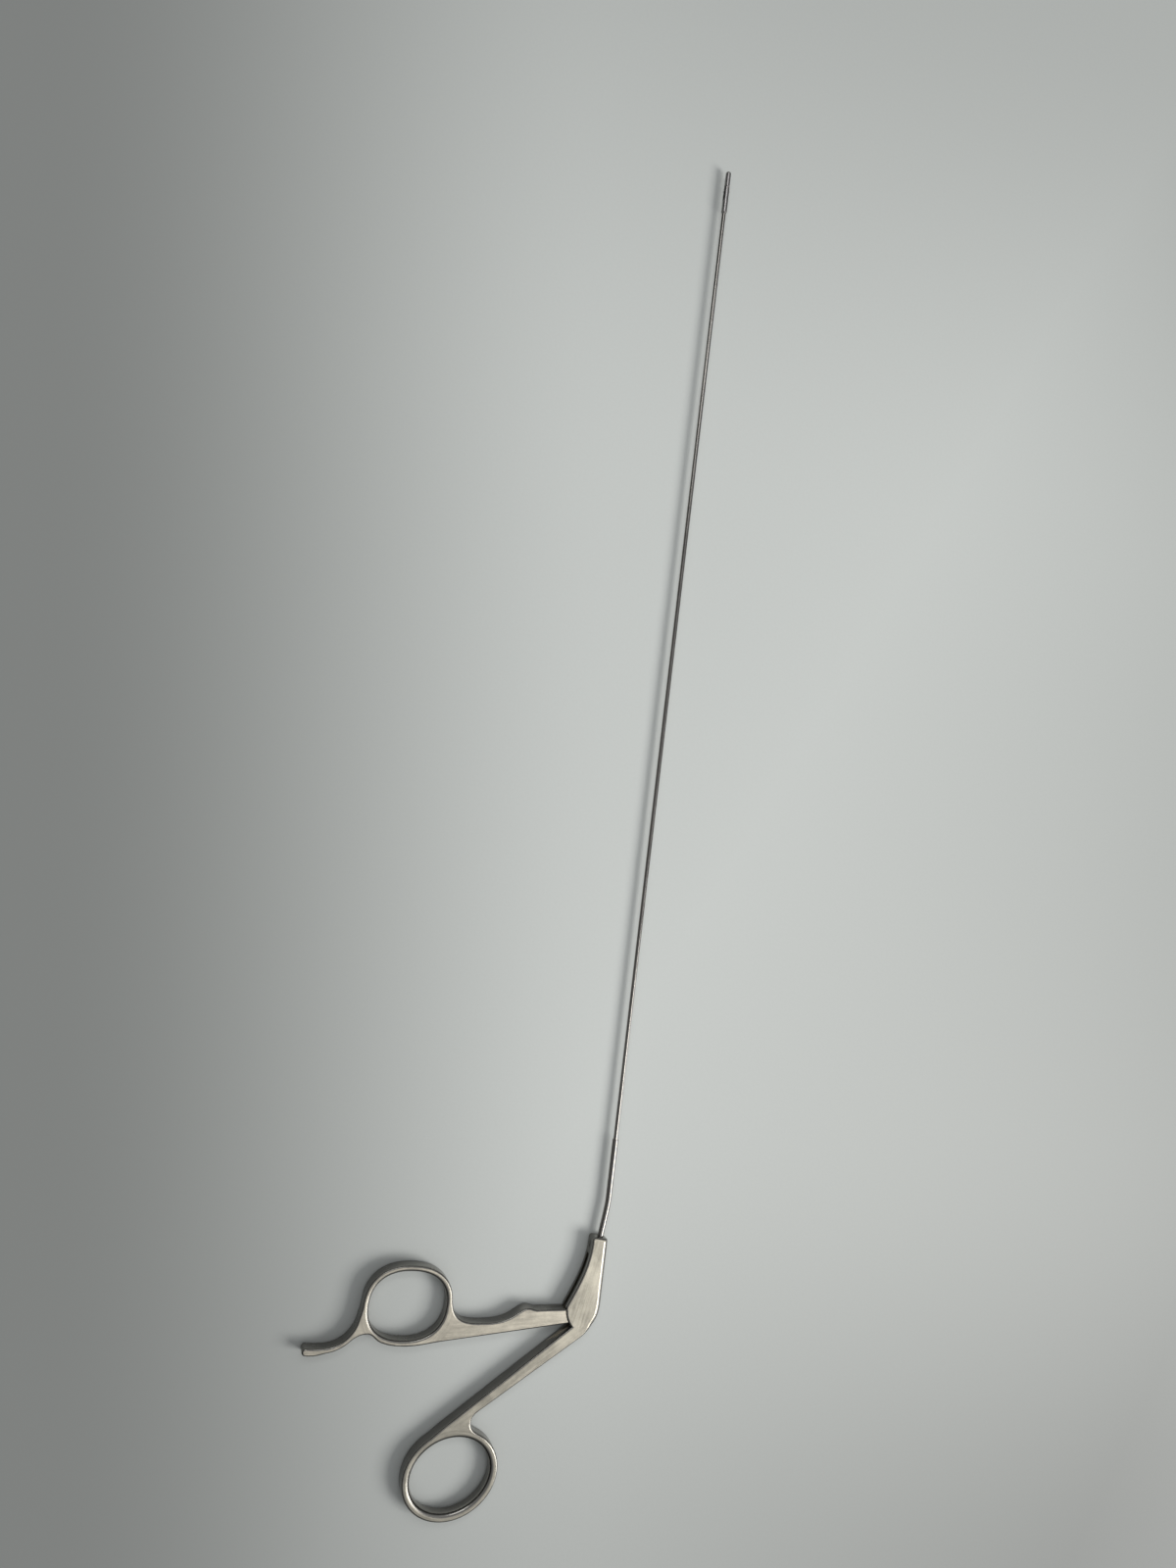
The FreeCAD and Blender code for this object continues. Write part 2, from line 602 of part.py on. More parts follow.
    # Tongue: tangent to the eye round the pivot, sunk into the shank behind the shoulder
    eye_top = heading(97) * EYE_RADIUS
    eye_low = heading(-58) * EYE_RADIUS
    sink = 2.0
    tongue_top = shoulder_top + left * sink + Vector(0, -0.1, 0)
    tongue_low = shoulder_bottom + bottom_way * sink + Vector(0, 0.3, 0)
    tongue = [
        line(tongue_top, shoulder_top + Vector(0.4, -0.1, 0)),
        blend(shoulder_top + Vector(0.4, -0.1, 0), heading(4), eye_top, heading(7), 0.35),
        arc(eye_top, heading(20) * EYE_RADIUS, eye_low),
        blend(eye_low, heading(-58 - 90), tongue_low, heading(180 + size("bottom_angle")), 0.3),
        line(tongue_low, tongue_top),
    ]
    pad(body, flat_sketch(body, "tongue_outline", tongue, "dims.stock_thickness / 2"), "tongue",
        "dims.slot_width - 2 * dims.tongue_side_gap", midplane=True)

    # Saw cut for the rod eye, then the pivot and link holes
    saw_centre = Vector(-size("saw_reach"), size("saw_floor") + size("saw_radius"), 0)
    cut_right = -size("pivot_radius") - size("running_gap") - size("eye_wall") * 0.7
    half_cut = 13.0

    def saw_point(x):
        return Vector(x, saw_centre.y - math.sqrt(size("saw_radius") ** 2 - (x - saw_centre.x) ** 2), 0)

    saw_top = 5.0
    saw_left = saw_point(saw_centre.x - half_cut)
    cut = [
        arc(saw_left, saw_point(saw_centre.x - half_cut / 2), saw_point(cut_right)),
        line(saw_point(cut_right), Vector(cut_right, saw_top, 0)),
        line(Vector(cut_right, saw_top, 0), Vector(saw_left.x, saw_top, 0)),
        line(Vector(saw_left.x, saw_top, 0), saw_left),
    ]
    pocket(body, flat_sketch(body, "saw_outline", cut, "dims.stock_thickness / 2"), "saw_cut",
           "dims.saw_width")
    drill(body, "eye_hole", Vector(0, 0, -1), Vector(0, 0, 1),
          "dims.pivot_radius + dims.running_gap", "dims.stock_thickness + 2")
    drill(body, "link_hole", LINK + Vector(0, 0, -1), Vector(0, 0, 1),
          "dims.link_radius + dims.press_gap", "dims.stock_thickness + 2")
    return body


def cylinder(label, radius, height, base, direction=Vector(0, 0, 1)):
    """Plain round piece with bound radius and length."""
    piece = doc.addObject("Part::Cylinder", label)
    piece.Label = label
    piece.setExpression("Radius", radius)
    piece.setExpression("Height", height)
    piece.Placement = Placement(base, Rotation(Vector(0, 0, 1), direction))
    return piece


def build_pipe(label, neck_reach, far_end, radius, bore=None):
    """Round tube or wire along the neck axis, round the bend and on along +Y."""
    body = doc.addObject("PartDesign::Body", label)
    body.Label = label
    turn = math.radians(size("bend_angle"))
    cut_back = size("bend_radius") * math.tan(turn / 2)
    start = neck_point(neck_reach)
    body.Placement = Placement(start + Vector(0, 0, MID), Rotation(Vector(1, 0, 0), NECK_DIRECTION))
    # In the body's own frame the neck axis is +X and the bend turns to +Y
    first = neck_reach - cut_back
    way_out = Vector(math.cos(turn), math.sin(turn), 0)
    bend_end = Vector(neck_reach, 0, 0) + way_out * cut_back
    bend_middle = Vector(first, size("bend_radius"), 0) + heading(-90 + size("bend_angle") / 2) * size(
        "bend_radius")
    last = bend_end + way_out * (far_end - BEND.y - cut_back)
    spine = flat_sketch(body, f"{label}_path", [
        line(Vector(0, 0, 0), Vector(first, 0, 0)),
        arc(Vector(first, 0, 0), bend_middle, bend_end),
        line(bend_end, last),
    ])

    def section(name, bound):
        sketch = body.newObject("Sketcher::SketchObject", name)
        sketch.AttachmentSupport = [(origin_plane(body, "YZ_Plane"), "")]
        sketch.MapMode = "FlatFace"
        sketch.addGeometry(circle(Vector(0, 0, 0), 1.0), False)
        sketch.addConstraint(Sketcher.Constraint("Coincident", 0, 3, -1, 1))
        index = sketch.addConstraint(Sketcher.Constraint("Radius", 0, 1.0))
        sketch.setExpression(f"Constraints[{index}]", bound)
        return sketch

    solid = body.newObject("PartDesign::AdditivePipe", f"{label}_wall")
    solid.Profile = section(f"{label}_outside", radius)
    solid.Spine = spine
    body.Tip = solid
    if bore:
        hole = body.newObject("PartDesign::SubtractivePipe", f"{label}_bore")
        hole.Profile = section(f"{label}_inside", bore)
        hole.Spine = spine
        body.Tip = hole
    return body


def feature(label, shape):
    piece = doc.addObject("Part::Feature", label)
    piece.Label = label
    piece.Shape = shape
    return piece


def prism(curves, low, high):
    """Solid between two heights over one closed outline."""
    wire = Part.Wire([curve.toShape() for curve in curves])
    face = Part.Face(wire)
    face.translate(Vector(0, 0, low))
    return face.extrude(Vector(0, 0, high - low))


def rod(radius, length, base, direction):
    return Part.makeCylinder(radius, length, base, direction)


def build_rod_end():
    """Flat eye in the saw cut and a round barrel that takes the wire."""
    thickness = size("saw_width") - 2 * size("rod_side_gap")
    eye_radius = size("link_radius") + size("link_gap") + size("rod_eye_wall")
    centre = Vector(LINK.x * (1 + math.cos(math.radians(HALF_SWING))) / 2 / math.cos(
        math.radians(HALF_SWING)), LINK.y, 0)
    to_barrel = size("rod_flat_length")
    side = Vector(NECK_DIRECTION.y, -NECK_DIRECTION.x, 0)
    # The barrel lies on the neck axis; the eye is level with the link pin
    barrel_start = neck_point((BEND.y - LINK.y - to_barrel) / NECK_DIRECTION.y)
    half_flat = size("rod_barrel_radius")
    flat_end = barrel_start + NECK_DIRECTION * 1.2
    way = (flat_end - centre).normalize()
    across = Vector(way.y, -way.x, 0)
    outline = [
        arc(centre - across * eye_radius, centre - way * eye_radius, centre + across * eye_radius),
        line(centre + across * eye_radius, flat_end + side * half_flat * 0.9),
        line(flat_end + side * half_flat * 0.9, flat_end - side * half_flat * 0.9),
        line(flat_end - side * half_flat * 0.9, centre - across * eye_radius),
    ]
    plate = prism(outline, MID - thickness / 2, MID + thickness / 2)
    base = barrel_start + Vector(0, 0, MID)
    barrel = rod(half_flat, size("rod_barrel_length"), base, NECK_DIRECTION)
    hole = rod(size("wire_radius") + size("press_gap"), size("rod_barrel_length"),
               base + NECK_DIRECTION * (size("rod_barrel_length") - size("rod_socket")), NECK_DIRECTION)
    eye = rod(size("link_radius") + size("link_gap"), 2 * thickness,
              centre + Vector(0, 0, MID - thickness), Vector(0, 0, 1))
    solid = plate.fuse(barrel).cut(hole).cut(eye).removeSplitter()
    return feature("rod_end", solid), barrel_start


# Head and jaws: the axis runs along +Y at the tube offset, at mid thickness
AXIS = Vector(size("tube_offset"), 0, MID)
UP = Vector(0, 1, 0)
JAW_PIN = AXIS + UP * size("jaw_pin_height")
HEAD_START = size("jaw_pin_height") - size("head_reach")
LAYER_BLADE = size("blade_thickness") / 2
LAYER_LOW = LAYER_BLADE + size("leaf_gap")
LAYER_HIGH = LAYER_LOW + size("tail_thickness")
FORK_HALF = LAYER_HIGH + size("leaf_gap")


def along(height, x=0.0, z=0.0):
    """Point near the head's axis at a height above the pivot."""
    return Vector(AXIS.x + x, height, AXIS.z + z)


def box(x_low, x_high, y_low, y_high, z_low, z_high):
    """Block in head coordinates: x and z from the axis, y above the pivot."""
    return Part.makeBox(x_high - x_low, y_high - y_low, z_high - z_low, along(y_low, x_low, z_low))


def build_jaw_carrier():
    radius = size("head_radius")
    start = HEAD_START
    pin = size("jaw_pin_height")
    nose = size("fork_nose")
    blank = rod(radius, pin + nose - start, along(start), UP)
    rear = [edge for edge in blank.Edges if edge.BoundBox.YMax < start + 1e-6]
    blank = blank.makeChamfer(size("head_nose"), rear)
    # The fork ends are round about the jaw pin
    keep = box(-radius * 2, radius * 2, start - 1, pin, -radius * 2, radius * 2).fuse(
        rod(nose, 4 * radius, along(pin, 0, -2 * radius), Vector(0, 0, 1)))
    blank = blank.common(keep)
    slot = box(-radius * 2, radius * 2, pin - size("fork_depth"), pin + nose + 1, -FORK_HALF, FORK_HALF)
    socket = rod(size("tube_radius") + size("press_gap"), size("head_socket") + 1, along(start - 1), UP)
    guide = rod(size("head_bore"), pin - size("fork_depth") - start + TRAVEL + 0.4, along(start), UP)
    hole = rod(size("jaw_pin_radius") + size("press_gap"), 4 * radius, along(pin, 0, -2 * radius),
               Vector(0, 0, 1))
    return feature("jaw_carrier", blank.cut(slot).cut(socket).cut(guide).cut(hole).removeSplitter())


def cam_place(travel):
    """Drive pin's place in the left jaw's own frame, from the jaw pin, after a travel of the rod."""
    turn = math.radians(size("jaw_swing")) * travel / TRAVEL
    reach = size("cam_reach") - travel
    return Vector(-reach * math.sin(turn), -reach * math.cos(turn), 0)


def banana(centre, start, end, half_width):
    """Outline of a slot that follows an arc about a centre, with round ends."""
    radius = start.distanceToPoint(centre)
    first = math.atan2(start.y - centre.y, start.x - centre.x)
    second = math.atan2(end.y - centre.y, end.x - centre.x)

    def place(angle, reach):
        return centre + Vector(math.cos(angle), math.sin(angle), 0) * reach

    half = (first + second) / 2
    start_way = (place(first, radius) - place(half, radius)).normalize()
    end_way = (place(second, radius) - place(half, radius)).normalize()
    return [
        arc(place(first, radius - half_width), place(half, radius - half_width),
            place(second, radius - half_width)),
        arc(place(second, radius - half_width), place(second, radius) + end_way * half_width,
            place(second, radius + half_width)),
        arc(place(second, radius + half_width), place(half, radius + half_width),
            place(first, radius + half_width)),
        arc(place(first, radius + half_width), place(first, radius) + start_way * half_width,
            place(first, radius - half_width)),
    ]


def build_jaw(label, tooth_sense):
    """Left jaw: toothed half round nose, knuckle on the jaw pin and cam slotted tail."""
    pin = size("jaw_pin_height")
    radius = size("jaw_radius")
    nose = size("fork_nose")
    heel = pin + nose + size("jaw_clearance")
    tip = pin + size("jaw_reach")

    # Round nose: a cylinder whose tip is rounded, cut along the tooth line
    blank = rod(radius, tip - heel, along(heel), UP)
    front = [edge for edge in blank.Edges if edge.BoundBox.YMin > tip - 1e-6]
    blank = blank.makeFillet(size("jaw_nose"), front)
    rear = [edge for edge in blank.Edges if edge.BoundBox.YMax < heel + 1e-6]
    blank = blank.makeChamfer(size("jaw_clearance"), rear)

    pitch = size("tooth_pitch")
    half_tooth = size("tooth_height") / 2 * tooth_sense
    bite = size("bite_gap") / 2
    count = int((tip - heel - size("jaw_nose")) / pitch)
    line_start = tip - size("jaw_nose") * 0.6 - count * pitch
    face_points = [Vector(-bite - radius * 3, heel - 1, 0), Vector(-bite, heel - 1, 0),
                   Vector(-bite, line_start, 0)]
    for number in range(count):
        foot = line_start + number * pitch
        face_points.append(Vector(-bite + half_tooth, foot + pitch * 0.25, 0))
        face_points.append(Vector(-bite - half_tooth, foot + pitch * 0.75, 0))
    face_points.append(Vector(-bite, tip - size("jaw_nose") * 0.6, 0))
    face_points.append(Vector(-bite, tip + 1, 0))
    face_points.append(Vector(-bite - radius * 3, tip + 1, 0))
    face_points = [point + Vector(AXIS.x, 0, 0) for point in face_points]
    sides = [line(start, end) for start, end in zip(face_points, face_points[1:] + face_points[:1])]
    nose_solid = blank.common(prism(sides, AXIS.z - 2 * radius, AXIS.z + 2 * radius))

    # Knuckle and tail share one leaf of the fork, just below the crosshead blade
    swing_places = [cam_place(0.0), cam_place(TRAVEL / 2), cam_place(TRAVEL)]
    centre = arc(*swing_places).toShape().Curve.Center
    slot_half = size("drive_pin_radius") + size("running_gap")
    tail_half = slot_half + size("cam_wall")
    shift = Vector(AXIS.x, pin, 0)
    low, high = AXIS.z - LAYER_HIGH, AXIS.z - LAYER_LOW
    tail = prism(banana(centre, swing_places[0], swing_places[2], tail_half), low, high)
    tail.translate(shift)
    cam = prism(banana(centre, swing_places[0], swing_places[2], slot_half), low - 1, high + 1)
    cam.translate(shift)
    disc = rod(nose, high - low, along(pin, 0, -LAYER_HIGH), Vector(0, 0, 1))
    bridge_left = swing_places[2] + Vector(-tail_half * 0.5, 0, 0)
    bridge = [Vector(0.35, -0.5, 0), Vector(0.2, swing_places[2].y, 0), bridge_left, Vector(-nose, 0, 0)]
    bridge = [point + shift for point in bridge]
    arm = prism([line(start, end) for start, end in zip(bridge, bridge[1:] + bridge[:1])], low, high)
    web_side = math.sqrt(radius ** 2 - LAYER_HIGH ** 2)
    web = box(-web_side, -bite, pin, heel + 0.3, -LAYER_HIGH, -LAYER_LOW)
    web = web.common(rod(radius, 4 * radius, along(pin - radius), UP))
    hole = rod(size("jaw_pin_radius") + size("running_gap"), 4 * radius, along(pin, 0, -2 * radius),
               Vector(0, 0, 1))
    solid = nose_solid.fuse([web, disc, arm, tail]).cut(cam).cut(hole).removeSplitter()
    if tooth_sense < 0:
        solid.rotate(AXIS, UP, 180)
    return feature(label, solid)


def build_crosshead():
    """Round slide in the carrier's bore with a blade between the jaw tails, holding the drive pin."""
    pin_height = size("jaw_pin_height") - size("cam_reach")
    blade_rear = size("jaw_pin_height") - size("fork_depth") + 0.2
    radius = size("head_bore") - size("running_gap")
    rear = blade_rear - size("crosshead_length")
    slide = rod(radius, size("crosshead_length"), along(rear), UP)
    reach = size("drive_pin_radius") + size("cam_wall")
    blade = box(-reach, reach, blade_rear - 0.6, pin_height, -LAYER_BLADE, LAYER_BLADE)
    front = rod(reach, 2 * LAYER_BLADE, along(pin_height, 0, -LAYER_BLADE), Vector(0, 0, 1))
    hole = rod(size("drive_pin_radius") + size("press_gap"), 4, along(pin_height, 0, -2), Vector(0, 0, 1))
    wire = rod(size("wire_radius") + size("press_gap"), size("crosshead_socket"), along(rear), UP)
    solid = slide.fuse([blade, front]).cut(hole).cut(wire).removeSplitter()
    return feature("crosshead", solid), rear


fixed_handle = build_fixed_handle()
moving_handle = build_moving_handle()
rod_end, barrel_start = build_rod_end()
jaw_carrier = build_jaw_carrier()
# The right jaw is a left jaw with its teeth on the other side, turned half round the head's axis
jaw_left = build_jaw("jaw_left", 1)
jaw_right = build_jaw("jaw_right", -1)
crosshead, crosshead_rear = build_crosshead()

pivot_pin = cylinder("pivot_pin", "dims.pivot_radius", "dims.stock_thickness", Vector(0, 0, 0))
link_length = TONGUE_THICKNESS
link_pin = cylinder("link_pin", "dims.link_radius", "dims.slot_width - 2 * dims.tongue_side_gap",
                    LINK + Vector(0, 0, MID - link_length / 2))
jaw_pin_length = 2 * math.sqrt(size("head_radius") ** 2 - size("jaw_pin_radius") ** 2)
jaw_pin = cylinder("jaw_pin", "dims.jaw_pin_radius",
                   "2 * sqrt(dims.head_radius ^ 2 - dims.jaw_pin_radius ^ 2)",
                   JAW_PIN - Vector(0, 0, jaw_pin_length / 2))
drive_pin = cylinder("drive_pin", "dims.drive_pin_radius",
                     "dims.blade_thickness + 2 * dims.leaf_gap + 2 * dims.tail_thickness",
                     along(size("jaw_pin_height") - size("cam_reach"), 0, -LAYER_HIGH))

sleeve_tube = build_pipe("sleeve_tube", NECK_LENGTH + size("sleeve_socket"), size("sleeve_top"),
                         "dims.sleeve_radius", "dims.tube_radius + dims.press_gap")
shaft_tube = build_pipe("shaft_tube", NECK_LENGTH + size("tube_socket"),
                        HEAD_START + size("head_socket"), "dims.tube_radius", "dims.tube_bore")
wire_start = (BEND - barrel_start).Length - (size("rod_barrel_length") - size("rod_socket"))
drive_wire = build_pipe("drive_wire", wire_start, crosshead_rear + size("crosshead_socket"),
                        "dims.wire_radius")

PIECES = [fixed_handle, pivot_pin, sleeve_tube, shaft_tube, jaw_carrier, jaw_pin,
          moving_handle, link_pin, rod_end, drive_wire, crosshead, drive_pin, jaw_left, jaw_right]

doc.recompute()
for item in doc.Objects:
    if "Invalid" in item.State or "Error" in item.State:
        raise RuntimeError(f"{item.Label} failed: {item.State}")
os.makedirs("parts", exist_ok=True)
for piece in PIECES:
    shape = piece.Shape
    if shape.isNull() or not shape.isValid() or len(shape.Solids) != 1:
        raise RuntimeError(f"{piece.Label} is not one valid solid")
for piece in PIECES:
    piece.Shape.exportStep(f"parts/{piece.Label}.step")
    room = piece.Shape.BoundBox
    print(f"{piece.Label}: {piece.Shape.Volume:.3f} mm3, x {room.XMin:.2f} {room.XMax:.2f}, "
          f"y {room.YMin:.2f} {room.YMax:.2f}, z {room.ZMin:.2f} {room.ZMax:.2f}")
print(f"lever arm {LINK_ARM:.4f} mm, rod travel {TRAVEL:.4f} mm")
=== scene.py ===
"""Looks of long grasping forceps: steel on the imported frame, a pale board, soft light and the camera."""

import math

import bpy
from bpy.props import FloatProperty, FloatVectorProperty, PointerProperty
from mathutils import Euler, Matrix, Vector

bl_info = {
    "name": "Grasping Forceps Finish",
    "version": (1, 0, 0),
    "blender": (4, 5, 0),
    "location": "3D View > Sidebar > Forceps",
    "description": "Steel finishes, floor, light and camera for long grasping forceps",
    "category": "Object",
}

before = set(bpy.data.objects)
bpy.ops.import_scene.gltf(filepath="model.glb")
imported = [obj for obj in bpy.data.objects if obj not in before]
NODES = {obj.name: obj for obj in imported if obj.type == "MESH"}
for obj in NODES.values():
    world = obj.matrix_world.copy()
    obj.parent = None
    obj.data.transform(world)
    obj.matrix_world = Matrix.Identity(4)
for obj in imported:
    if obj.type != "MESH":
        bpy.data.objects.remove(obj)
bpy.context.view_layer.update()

# Ring centres, right and up of the pivot, in metres
FIXED_RING = (-0.05115, -0.0639)
MOVING_RING = (-0.07575, 0.00145)
RING_RADIUS = 0.016
# Distance from a ring's centre over which the rim's lines give way to the lines of the stock
RIM_END = (0.0178, 0.0205)

# Directions of the ground lines above and below the seam, turned from +X
FIXED_LINES = (math.radians(79), math.radians(37))
MOVING_LINES = (math.radians(178), math.radians(184))
# Place up the board at which the lines change direction, and half the width of the change
FIXED_SEAM = -0.0085
MOVING_SEAM = -0.0035
SEAM_HALF = 0.004

# Fineness of the handles' lines along and across them, in 1/m, and of their clouds and specks
FINE_LINES = (160, 5200)
BROAD_LINES = (90, 1300)
CLOUDS = 125.0
SPECKS = 1500.0
SPECK_DEPTH = 0.35
# Shares of lines, clouds and specks in a handle's tone, and the part of their sum that is used
HANDLE_SHARES = (0.42, 0.38, 0.2)
HANDLE_TONE = (0.38, 0.62)
# Darkest and palest tone of the flat faces and of the sides
FACE_TONES = (0.74, 1.20)
SIDE_TONES = (0.88, 1.08)
# Upright share of the normal over which sides turn into shoulders, and shoulders into flat faces
SHOULDER_START = (0.80, 0.90)
FACE_START = (0.955, 0.995)
# Painted shade on the rounded shoulders: their side colour is darkened by this factor, which dims the
# lamp's reflection there
SHOULDER_PAINTED_SHADE = 0.72
# How far clouds and lines lower and raise the roughness, and the part of their range that is used
CLOUD_RANGE = (0.35, 0.65)
LINE_RANGE = (0.3, 0.7)
CLOUD_GLOSS = (0.04, 0.05)
FACE_CLOUD_GLOSS = (0.05, 0.06)
LINE_GLOSS = 0.05
FACE_LINE_GLOSS = 0.045

# Small pieces: fineness of their fine lines along X, Y and Z, in 1/m
PIN_LINES = (6000, 6000, 400)
TUBE_LINES = (8000, 120, 8000)
JAW_LINES = (9000, 600, 9000)
WIRE_LINES = (9000, 200, 9000)
# Depth of those lines, as a share of the brush depth
SMALL_DEPTH = 1 / 2
WIRE_DEPTH = 1 / 3
# Fineness of their broad lines and clouds, shares of both in the tone, and darkest and palest tone
SMALL_BANDS = (900, 45, 900)
SMALL_CLOUDS = 120.0
SMALL_SHARES = (0.55, 0.45)
SMALL_TONES = (0.86, 1.08)


class ForcepsSteel(bpy.types.PropertyGroup):
    """Colours and roughness of the steel pieces."""

    fixed_colour: FloatVectorProperty(
        name="Fixed handle face", description="Ground faces of the fixed handle", subtype="COLOR",
        size=3, min=0, max=1, default=(0.385, 0.362, 0.302))
    # Paler than the fixed handle's faces: the extra paleness is painted light, a lit copy of the same
    # ground steel
    moving_lit_colour: FloatVectorProperty(
        name="Moving handle face", description="Ground faces of the moving handle", subtype="COLOR",
        size=3, min=0, max=1, default=(0.49, 0.455, 0.378))
    # The sides are darker than the faces partly for their tumbled finish and partly as painted shade, for
    # the shaded floor and dark room they mirror
    wall_colour_and_shade: FloatVectorProperty(
        name="Handle sides", description="Tumbled sides and rounded edges of the handles",
        subtype="COLOR", size=3, min=0, max=1, default=(0.265, 0.257, 0.238))
    face_roughness: FloatProperty(
        name="Face roughness", description="Roughness of the ground faces", subtype="FACTOR",
        min=0, max=1, default=0.36)
    wall_roughness: FloatProperty(
        name="Side roughness", description="Roughness of the tumbled sides", subtype="FACTOR",
        min=0, max=1, default=0.23)
    tube_colour: FloatVectorProperty(
        name="Tube steel", description="Drawn steel of tube and sleeve", subtype="COLOR",
        size=3, min=0, max=1, default=(0.225, 0.214, 0.2))
    tube_roughness: FloatProperty(
        name="Tube roughness", description="Roughness of the drawn tube", subtype="FACTOR",
        min=0, max=1, default=0.18)
    jaw_colour: FloatVectorProperty(
        name="Jaw steel", description="Hardened steel of jaws and head", subtype="COLOR",
        size=3, min=0, max=1, default=(0.30, 0.29, 0.285))
    jaw_roughness: FloatProperty(
        name="Jaw roughness", description="Roughness of jaws and head", subtype="FACTOR",
        min=0, max=1, default=0.3)
    brush_depth: FloatProperty(
        name="Brush depth", description="Depth of the brushed lines", subtype="DISTANCE", unit="LENGTH",
        min=0, max=0.0002, default=0.000006, precision=6)


class ForcepsStage(bpy.types.PropertyGroup):
    """Floor, lights and camera."""

    floor_colour: FloatVectorProperty(
        name="Floor", description="Colour of the board under the forceps", subtype="COLOR",
        size=3, min=0, max=1, default=(0.60, 0.625, 0.605))
    window_power: FloatProperty(
        name="Main light", description="Power of the large soft light", subtype="POWER", unit="POWER",
        min=0, default=34.0)
    window_size: FloatProperty(
        name="Main light size", description="Side of the large soft light", subtype="DISTANCE",
        unit="LENGTH", min=0.1, default=0.95)
    edge_power: FloatProperty(
        name="Edge light", description="Power of the narrow light behind the jaws", subtype="POWER",
        unit="POWER", min=0, default=2.0)
    sky_strength: FloatProperty(
        name="Room light", description="Strength of the soft light overhead", min=0, default=0.7)
    camera_height: FloatProperty(
        name="Camera height", description="Height of the camera above the floor", subtype="DISTANCE",
        unit="LENGTH", default=0.452)
    camera_tilt: FloatProperty(
        name="Camera tilt", description="Lean of the view from straight down", subtype="ANGLE",
        unit="ROTATION", default=math.radians(-18.864))
    camera_turn: FloatProperty(
        name="Camera turn", description="Turn of the picture about the vertical", subtype="ANGLE",
        unit="ROTATION", default=math.radians(7.199))
    camera_lens: FloatProperty(
        name="Lens", description="Focal length on a 36 mm sensor", unit="CAMERA", default=27.0)


# Camera place over the floor, right and up of the pivot
CAMERA_X = -0.1801
CAMERA_Y = 0.1889
# Sensor width, in mm, that the focal length goes with, and the nearest thing seen, in metres
SENSOR_WIDTH = 36.0
NEAREST_SEEN = 0.01

# Half the board's side, in metres, and its fine grain and gloss
BOARD_HALF = 6.0
BOARD_GRAIN = 900.0
BOARD_GRAIN_TONES = (0.975, 1.025)
BOARD_GRAIN_DEPTH = 0.00002
BOARD_GRAIN_STRENGTH = 0.4
BOARD_ROUGHNESS = 0.55
BOARD_SPECULAR = 0.3
# Where the painted shade on the board changes, right and up of the pivot: a painted shadow at the left and
# painted falloff of light beside the lamp, far and near; each pair holds the start and the end
BOARD_LEFT_SHADOW = (-0.205, 0.012)
BOARD_LAMP_SIDE_SHADE = (-0.05, 0.32)
BOARD_FAR_SHADE = (0.33, 0.62)
BOARD_NEAR_SHADE = (-0.12, 0.08)
# How much darker the painted shadow and the painted falloff make the board there
BOARD_SHADE = 0.40
LAMP_SIDE_PAINTED_SHADE = 0.44
FAR_PAINTED_SHADE = 0.22
NEAR_PAINTED_SHADE = 0.14
# Shift to the side per metre up the board, for the edge of the painted shadow at the left and for the
# painted shade beside the lamp
PICTURE_LEAN = 0.126
LAMP_LEAN = -0.5

# Places of the two lights and the points that they are turned to
WINDOW_PLACE = (1.50, -0.55, 1.30)
WINDOW_TARGET = (0.0, 0.10, 0.0)
WINDOW_COLOUR = (1.0, 0.985, 0.96)
EDGE_PLACE = (-0.28, 0.85, 1.0)
EDGE_TARGET = (-0.04, 0.0, 0.0)
EDGE_SIDES = (0.7, 0.24)

# Room light on its dark and its light side: start and end upwards, and the strength at both
DARK_SIDE_RISE = (0.38, 0.88, 0.03, 0.85)
LIGHT_SIDE_RISE = (0.22, 0.80, 0.07, 1.0)
# Where the dark side ends and the light side starts, along X
ROOM_SIDES = (-0.6, 0.5)
ROOM_COLOUR = (0.84, 0.85, 0.87, 1)
ROOM_SEEN = 0.55


